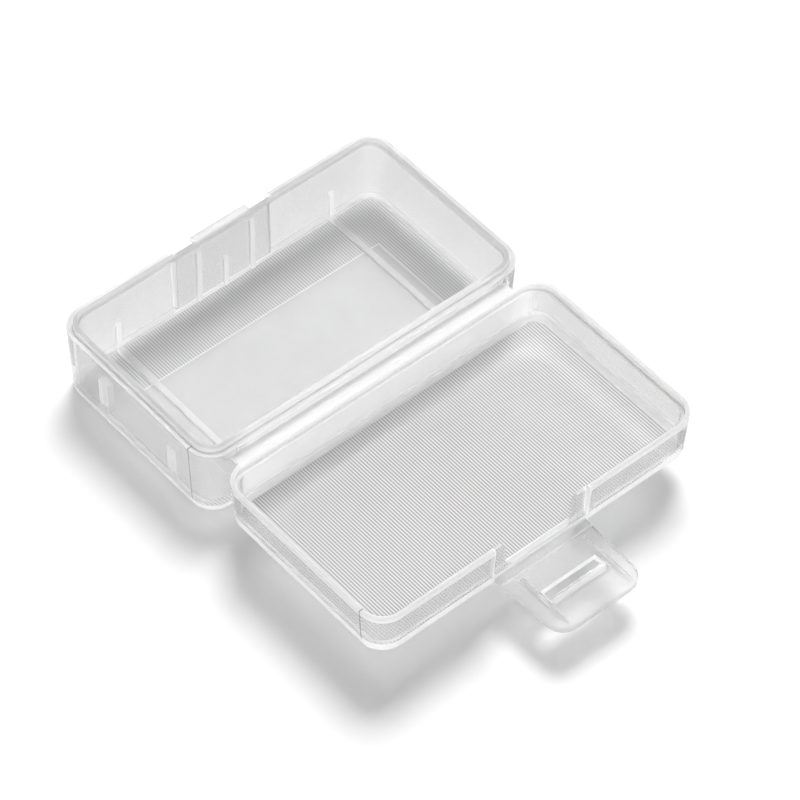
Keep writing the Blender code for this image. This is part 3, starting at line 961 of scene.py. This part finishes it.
tray_shell = add_piece(
    "tray_shell",
    shell_mesh(tray_wall, tray_recess_wall, TRAY_RECESS_HALF, tray_stations),
    PIECES,
    tray_plastic,
)
print("rings in the tray's wall:", len(tray_wall))

# %% [markdown]
# ## Ribs, end bars and catch ledge
#
# Two divider ribs cross the tray's floor and climb the latch wall, three short ribs stiffen the
# thin plate behind the latch, and two bars on the left end wall keep the battery's terminals off
# it. The bars are seen only as pale shapes through that wall, so their size and place were found
# by setting renders beside the picture. The ledge outside is what the latch flap's bar hooks
# under. All are small solids with rounded edges, joined to the shell before the grooves are cut.

# %% Shape the ribs and bars
DIVIDER_HALF_SPACING = 19.5
DIVIDER_WIDTH = 0.95
DIVIDER_HEIGHT = 0.5
DIVIDER_WALL_TOP = 7.0
DIVIDER_SLOPE_LOW = 0.6
DIVIDER_TOP_ROUND = 0.25
LATCH_RIB_SPACING = 4.84
LATCH_RIB_WIDTH = 0.9
LATCH_RIB_DEPTH = 0.4
LATCH_RIB_TOPS = ((-LATCH_RIB_SPACING, 11.5), (0.0, 7.2), (LATCH_RIB_SPACING, 11.5))
LATCH_RIB_SLOPE_LOW = 0.5
LATCH_RIB_TOP_ROUND = 0.2
SLOPE_HIGH = 0.2
END_BAR_HALF_SPACING = 7.6
END_BAR_WIDTH = 2.1
END_BAR_DEPTH = 1.2
END_BAR_TOP = 6.9
RIB_EDGE = 0.12
SUNK = 0.3

latch_wall = CASE_WIDTH / 2 - TRAY_WALL


def divider_rib(x):
    """A rib across the floor that turns up the latch wall and ends in a slope."""
    face = latch_wall - DIVIDER_HEIGHT
    outline = closed_path(
        [
            (-latch_wall - SUNK, TRAY_FLOOR - SUNK, 0.0),
            (latch_wall + SUNK, TRAY_FLOOR - SUNK, 0.0),
            (latch_wall + SUNK, DIVIDER_WALL_TOP + SLOPE_HIGH, 0.0),
            (face, DIVIDER_WALL_TOP - DIVIDER_SLOPE_LOW, DIVIDER_TOP_ROUND),
            (face, TRAY_FLOOR + DIVIDER_HEIGHT, FLOOR_ROUND),
            (-latch_wall - SUNK, TRAY_FLOOR + DIVIDER_HEIGHT, 0.0),
        ]
    )
    half = DIVIDER_WIDTH / 2
    return slab_mesh(outline, x - half, x + half, RIB_EDGE, (1, 2, 0))


def latch_rib(x, top):
    """A low rib up the inside of the latch wall, with a sloping top."""
    face = latch_wall - LATCH_RIB_DEPTH
    outline = closed_path(
        [
            (face, TRAY_FLOOR - SUNK, 0.0),
            (latch_wall + SUNK, TRAY_FLOOR - SUNK, 0.0),
            (latch_wall + SUNK, top + SLOPE_HIGH, 0.0),
            (face, top - LATCH_RIB_SLOPE_LOW, LATCH_RIB_TOP_ROUND),
        ]
    )
    half = LATCH_RIB_WIDTH / 2
    return slab_mesh(outline, x - half, x + half, RIB_EDGE, (1, 2, 0))


def end_bar(y):
    """An upright bar on the left end wall."""
    wall = -CASE_LENGTH / 2 + TRAY_WALL
    half = END_BAR_WIDTH / 2
    low = (wall - SUNK, y - half, TRAY_FLOOR - SUNK)
    high = (wall + END_BAR_DEPTH, y + half, END_BAR_TOP)
    return rounded_box(low, high, RIB_EDGE)


tray_ribs = [divider_rib(side * DIVIDER_HALF_SPACING) for side in (-1, 1)]
tray_ribs += [latch_rib(x, top) for x, top in LATCH_RIB_TOPS]
tray_ribs += [end_bar(side * END_BAR_HALF_SPACING) for side in (-1, 1)]
print("ribs and bars in the tray:", len(tray_ribs))

# %% Add them and the ledge, and cut the grooves
LEDGE_HALF = 5.0
LEDGE_BOTTOM = 12.1
LEDGE_TOP = 12.85
LEDGE_SETBACK = 0.1

recess_face = CASE_WIDTH / 2 - TRAY_RECESS_DEPTH
ledge = rounded_box(
    (-LEDGE_HALF, recess_face - SUNK, LEDGE_BOTTOM),
    (LEDGE_HALF, CASE_WIDTH / 2 - LEDGE_SETBACK, LEDGE_TOP),
    RIB_EDGE,
)
combine(tray_shell, "ribs", joined(tray_ribs), "UNION", rib_plastic)
combine(tray_shell, "catch_ledge", ledge, "UNION", rib_plastic)
combine(tray_shell, "tray_grooves", tray_grooves(), "DIFFERENCE", groove_plastic)
settle(tray_shell)
smooth(tray_shell)
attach(tray_shell, "tray")
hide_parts("tray")

# %% [markdown]
# ## The lid
#
# The lid's wall ends in a ring that drops round the tray's lip, with a step inside it. Round the
# latch its front wall is thinned from a sill upwards, and a notch with flared top corners is cut
# through that thin part, so that the flap can reach the tray's ledge. The shell is drawn like the
# tray's and then turned half round, so that its latch side faces the front.

# %% Shape the lid's shell
SILL_INSET = 0.38
ABOVE_SILL = 1.0
ABOVE_SILL_INSET = 0.31
SILL_ROUND = 0.15
RABBET_ROUND = 0.06
RECESS_RIM_ROUND = 0.08
RECESS_RIM_STEPS = (0.17, 0.33)
RECESS_RIM_STEP_ROUND = 0.05

lid_foot = [
    (FAR_INSIDE, LID_BOTTOM, 0.0),
    (UNDERSIDE_RING, LID_BOTTOM, 0.0),
    (WALL_DRAFT, LID_BOTTOM, FOOT_ROUND),
]
lid_inside = [
    (LID_WALL, LID_FLOOR, FLOOR_ROUND),
    (FLOOR_RING, LID_FLOOR, 0.0),
    (FAR_INSIDE, LID_FLOOR, 0.0),
]
lid_wall = rounded_path(
    [
        *lid_foot,
        (SILL_INSET, NOTCH_SILL, FLAT_ROUND),
        (ABOVE_SILL_INSET, NOTCH_SILL + ABOVE_SILL, FLAT_ROUND),
        (0.0, TRAY_HEIGHT, RIM_ROUND),
        (RIM_RING, TRAY_HEIGHT, FLAT_ROUND),
        (RIM_RING, RABBET_LEVEL, RABBET_ROUND),
        (LID_WALL, RABBET_LEVEL, FLAT_ROUND),
        *lid_inside,
    ]
)
lid_recess_wall = rounded_path(
    [
        *lid_foot,
        (SILL_INSET, NOTCH_SILL, RIM_ROUND),
        (LID_RECESS_DEPTH, NOTCH_SILL, SILL_ROUND),
        (LID_RECESS_DEPTH, RABBET_LEVEL, RECESS_RIM_ROUND),
        (LID_RECESS_DEPTH + RECESS_RIM_STEPS[0], RABBET_LEVEL, RECESS_RIM_STEP_ROUND),
        (LID_RECESS_DEPTH + RECESS_RIM_STEPS[1], RABBET_LEVEL, RECESS_RIM_STEP_ROUND),
        (LID_WALL, RABBET_LEVEL, RECESS_RIM_ROUND),
        *lid_inside,
    ]
)
lid_stations = recess_stations(LID_RECESS_DEPTH, SILL_ROUND, SILL_ROUND)
lid_mesh = shell_mesh(lid_wall, lid_recess_wall, LID_RECESS_HALF, lid_stations)
half_turn = Matrix.Rotation(math.pi, 4, "Z")
turn_to_front = Matrix.Translation((0.0, LID_MIDDLE * MM, 0.0)) @ half_turn
bmesh.ops.transform(lid_mesh, matrix=turn_to_front, verts=lid_mesh.verts)
lid_shell = add_piece("lid_shell", lid_mesh, PIECES, lid_plastic)
print("rings in the lid's wall:", len(lid_wall))

# %% Cut the notch and round its edges
NOTCH_HALF = 6.1
NOTCH_CORNER = 1.0
NOTCH_FLARE = 2.4
NOTCH_EDGE = 0.07
NOTCH_EDGE_ANGLE = math.radians(40.0)
FLARE_LIFT = 0.02
FLARE_RUN = 0.1
PAST = 1.0

flare_top = TRAY_HEIGHT + FLARE_LIFT
flare_half = NOTCH_HALF + NOTCH_FLARE + FLARE_RUN
notch_outline = closed_path(
    [
        (-NOTCH_HALF, NOTCH_SILL, NOTCH_CORNER),
        (NOTCH_HALF, NOTCH_SILL, NOTCH_CORNER),
        (NOTCH_HALF, flare_top, NOTCH_FLARE),
        (flare_half, flare_top, 0.0),
        (flare_half, TRAY_HEIGHT + PAST, 0.0),
        (-flare_half, TRAY_HEIGHT + PAST, 0.0),
        (-flare_half, flare_top, 0.0),
        (-NOTCH_HALF, flare_top, NOTCH_FLARE),
    ]
)
notch = slab_mesh(notch_outline, LID_FRONT - PAST, LID_FRONT + LID_WALL + PAST, 0.0, (0, 2, 1))
combine(lid_shell, "notch", notch, "DIFFERENCE", rib_plastic)
rounding = lid_shell.modifiers.new("notch_edges", "BEVEL")
rounding.width = NOTCH_EDGE * MM
rounding.segments = EDGE_STEPS
rounding.limit_method = "ANGLE"
rounding.angle_limit = NOTCH_EDGE_ANGLE
combine(lid_shell, "lid_grooves", lid_grooves(), "DIFFERENCE", groove_plastic)
settle(lid_shell)
smooth(lid_shell)
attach(lid_shell, "lid")
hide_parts("lid")

# %% [markdown]
# ## The latch flap
#
# The flap is a thin plate on the lid's front edge. Near its fold runs a fine crease, two low guide
# ribs keep it beside the ledge, and a bar at the far side of the slot hooks under the ledge. The
# plate and the web that it bends on are one mesh, with a few rows of points across the fold, so
# that a bend there wouldn't open it.

# %% Shape the flap's plate
FOLD_LINE = LID_FRONT - 0.3
FLAP_START = LID_FRONT + WALL_DRAFT + 0.1
FLAP_LENGTH = 12.2
FLAP_ROOT_HALF = 8.2
FLAP_TIP_HALF = 7.7
FLAP_TOP = 5.8
FLAP_CORNER = 2.75
FLAP_EDGE = 0.15

flap_tip = FOLD_LINE - FLAP_LENGTH
flap_outline = closed_path(
    [
        (FLAP_ROOT_HALF, FLAP_START, 0.0),
        (-FLAP_ROOT_HALF, FLAP_START, 0.0),
        (-FLAP_TIP_HALF, flap_tip, FLAP_CORNER),
        (FLAP_TIP_HALF, flap_tip, FLAP_CORNER),
    ]
)
latch_plate = add_piece(
    "latch_plate",
    slab_mesh(flap_outline, LID_BOTTOM, FLAP_TOP, FLAP_EDGE, (0, 1, 2)),
    PIECES,
    flap_plastic,
)
print("flap reaches to Y", round(flap_tip, 2), "mm")

# %% Add guides and hook bar, and cut slot and crease
GUIDE_INNER = 5.3
GUIDE_OUTER = 5.9
GUIDE_TOP = 6.3
GUIDE_START = 1.8
GUIDE_END = 1.0
GUIDE_EDGE = 0.1
HOOK_HALF = 4.9
HOOK_FACE = FOLD_LINE - 6.95
HOOK_WIDTH = 0.9
HOOK_TOP = 6.7
SLOT_LENGTH = 2.1
SLOT_TOP = 8.0
SLOT_EDGE = 0.05
CREASE_FROM_FOLD = 0.8
CREASE_DEPTH = 0.2


def guide_rib(side):
    """A low rib along the flap, on one side of the ledge."""
    inner, outer = sorted((side * GUIDE_INNER, side * GUIDE_OUTER))
    low = (inner, flap_tip + GUIDE_END, FLAP_TOP - SUNK)
    high = (outer, FOLD_LINE - GUIDE_START, GUIDE_TOP)
    return rounded_box(low, high, GUIDE_EDGE)


hook = rounded_box(
    (-HOOK_HALF, HOOK_FACE - HOOK_WIDTH, FLAP_TOP - SUNK),
    (HOOK_HALF, HOOK_FACE, HOOK_TOP),
    RIB_EDGE,
)
slot = rounded_box(
    (-HOOK_HALF, HOOK_FACE, LID_BOTTOM - PAST),
    (HOOK_HALF, HOOK_FACE + SLOT_LENGTH, SLOT_TOP),
    SLOT_EDGE,
)
crease = slab_mesh(
    diamond(FOLD_LINE - CREASE_FROM_FOLD, FLAP_TOP, CREASE_DEPTH),
    -FLAP_ROOT_HALF - PAST,
    FLAP_ROOT_HALF + PAST,
    0.0,
    (1, 2, 0),
)
guides = joined([guide_rib(side) for side in (-1, 1)])
combine(latch_plate, "guide_ribs", guides, "UNION", flap_plastic)
combine(latch_plate, "hook_bar", hook, "UNION", flap_plastic)
# Painted highlight: the slot's cut faces take the whiter plastic.
combine(latch_plate, "slot", slot, "DIFFERENCE", slot_highlight_plastic)
combine(latch_plate, "crease", crease, "DIFFERENCE", rib_plastic)
settle(latch_plate)

# %% Cut rows across the flap's fold
FOLD_REACH = 0.3
FOLD_ROWS = 8


def add_rows(piece, low_y, high_y, rows):
    """Cut rows of points across a piece, so that it can bend there."""
    bm = bmesh.new()
    bm.from_mesh(piece.data)
    for row in range(rows + 1):
        y = low_y + (high_y - low_y) * row / rows
        everything = [*bm.verts, *bm.edges, *bm.faces]
        bmesh.ops.bisect_plane(
            bm, geom=everything, plane_co=(0.0, y * MM, 0.0), plane_no=(0.0, 1.0, 0.0)
        )
    bm.to_mesh(piece.data)
    bm.free()
    print(piece.name, "points:", len(piece.data.vertices))


add_rows(latch_plate, FOLD_LINE - FOLD_REACH, FOLD_LINE + FOLD_REACH, FOLD_ROWS)
smooth(latch_plate)
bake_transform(latch_plate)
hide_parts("latch_flap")

# %% [markdown]
# ## The hinge web
#
# Tray and lid are moulded together with a thin web between them that folds at both of its ends.
# One piece can only bend across one joint, so the web is made in two halves that meet in its
# middle. Each half is a row of flat rings, closed where it grows out of its wall and open where it
# meets the other half, so that light crosses the pair as if it were one web.

# %% Shape the two halves of the web
WEB_TOP = 11.05
WEB_THICKNESS = 0.5
WEB_SAG = 0.15
WEB_EDGE = 0.12
WEB_ROWS = 16
WEB_ROOT = 0.1

web_middle = (HINGE_SIDE + LID_REAR) / 2


def web_ring(y):
    """The web's outline across the case at one distance from the hinge's middle."""
    share = (y - web_middle) / (HINGE_GAP / 2)
    top = WEB_TOP - WEB_SAG * max(0.0, 1.0 - share**2)
    bottom = top - WEB_THICKNESS
    corners = [
        (-WEB_HALF_LENGTH, top, WEB_EDGE),
        (WEB_HALF_LENGTH, top, WEB_EDGE),
        (WEB_HALF_LENGTH, bottom, WEB_EDGE),
        (-WEB_HALF_LENGTH, bottom, WEB_EDGE),
    ]
    return [(point.x, y, point.y) for point in closed_path(corners)]


def web_half(name, root_y):
    """Half of the web, from just inside a wall to the hinge's middle."""
    rings = []
    for row in range(WEB_ROWS + 1):
        rings.append(web_ring(root_y + (web_middle - root_y) * row / WEB_ROWS))
    half = add_piece(name, joined_rings(rings, far_cap=False), PIECES, web_plastic)
    smooth(half)
    return half


web_by_tray = web_half("web_by_tray", HINGE_SIDE + WEB_ROOT)
web_by_lid = web_half("web_by_lid", LID_REAR - WEB_ROOT)

# %% Bake each half's place and hide the CAD web
WEB_FOLD_REACH = 0.5

for half, bodies, fold, turn in (
    (web_by_tray, ("tray", "hinge_strip"), HINGE_SIDE, -WEB_FOLD_REACH),
    (web_by_lid, ("lid", "hinge_strip"), LID_REAR, WEB_FOLD_REACH),
):
    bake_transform(half)
    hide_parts("hinge_strip")
    print(half.name, "bends from", round(fold, 2), "to", round(fold + turn, 2))

# %% [markdown]
# ## The table
#
# The case stands on seamless white paper. A large plane of nearly white, fully matt paint does for
# it, and shows the soft shadow. It lies a hair below the tray, because two faces in exactly the
# same place would flicker.

# %% Lay the white paper
PAPER_WHITE = 0.97
PAPER_REACH = 2.0
PAPER_DROP = 0.02

floor_mesh = bmesh.new()
bmesh.ops.create_grid(floor_mesh, x_segments=1, y_segments=1, size=PAPER_REACH)
bmesh.ops.translate(floor_mesh, vec=(0.0, 0.0, -PAPER_DROP * MM), verts=floor_mesh.verts)
white_paper = bpy.data.materials.new("white_paper")
white_paper.use_nodes = True
paper = white_paper.node_tree.nodes["Principled BSDF"]
paper.inputs["Base Color"].default_value = (PAPER_WHITE, PAPER_WHITE, PAPER_WHITE, 1.0)
paper.inputs["Roughness"].default_value = 1.0
paper.inputs["Specular IOR Level"].default_value = 0.0
floor = add_piece("white_table", floor_mesh, bpy.context.scene.collection, white_paper)
print("paper reaches", PAPER_REACH, "m each way")

# %% [markdown]
# ## Backdrop and lamps
#
# Clear plastic looks like what stands behind it, so the backdrop matters more than the lamps. The
# world is plain white to camera, glossy and transmission rays, until a ray has met a matt surface.
# As a light it counts much less, or the shadow would fade. Area lamps close by would light the two
# shells unevenly, so two wide suns do: a softbox from the back right, whose shadow falls to the
# front left, and a fill card from the front left, without a shadow. Neither is mirrored in the
# plastic or met by the rays that run through it, as that would leave bright specks.

# %% Set up the white backdrop
SKY_LIGHT = 0.27
THROUGH_PLASTIC = 0.05
BEFORE_FIRST_BOUNCE = 0.5

world = bpy.data.worlds.new("studio")
bpy.context.scene.world = world
world.use_nodes = True
tree = world.node_tree
ray = tree.nodes.new("ShaderNodeLightPath")
backdrop = tree.nodes["Background"]
backdrop.inputs["Color"].default_value = (1.0, 1.0, 1.0, 1.0)
shown = highest(
    tree,
    ray.outputs["Is Camera Ray"],
    ray.outputs["Is Glossy Ray"],
    ray.outputs["Is Transmission Ray"],
)
bounces = ray.outputs["Diffuse Depth"]
unscattered = calculate(tree, "LESS_THAN", bounces, BEFORE_FIRST_BOUNCE)
seen = all_of(tree, shown, unscattered)
through = calculate(tree, "MULTIPLY", ray.outputs["Is Transmission Ray"], THROUGH_PLASTIC)
lit = calculate(tree, "ADD", through, SKY_LIGHT)
tree.links.new(highest(tree, seen, lit), backdrop.inputs["Strength"])
print("sky as a light:", SKY_LIGHT)

# %% Hang the lamps
SOFTBOX_ENERGY = 2.75
SOFTBOX_ANGLE = 0.45
SOFTBOX_AIM = Vector((-0.55, -0.47, -1.0))
FILL_ENERGY = 1.5
FILL_ANGLE = 0.9
FILL_AIM = Vector((0.6, 0.65, -0.12))


def add_sun(name, energy, angle, aim, has_shadow):
    """A wide sun that isn't mirrored in anything."""
    light = bpy.data.lights.new(name, "SUN")
    light.energy = energy
    light.angle = angle
    light.use_shadow = has_shadow
    light.cycles.use_multiple_importance_sampling = False
    lamp = bpy.data.objects.new(name, light)
    lamp.rotation_mode = "QUATERNION"
    lamp.rotation_quaternion = aim.to_track_quat("-Z", "Y")
    lamp.visible_glossy = False
    bpy.context.scene.collection.objects.link(lamp)
    print("lamp:", name, "energy:", energy)


add_sun("softbox", SOFTBOX_ENERGY, SOFTBOX_ANGLE, SOFTBOX_AIM, has_shadow=True)
add_sun("fill_card", FILL_ENERGY, FILL_ANGLE, FILL_AIM, has_shadow=False)
bpy.context.scene.view_settings.view_transform = "Standard"
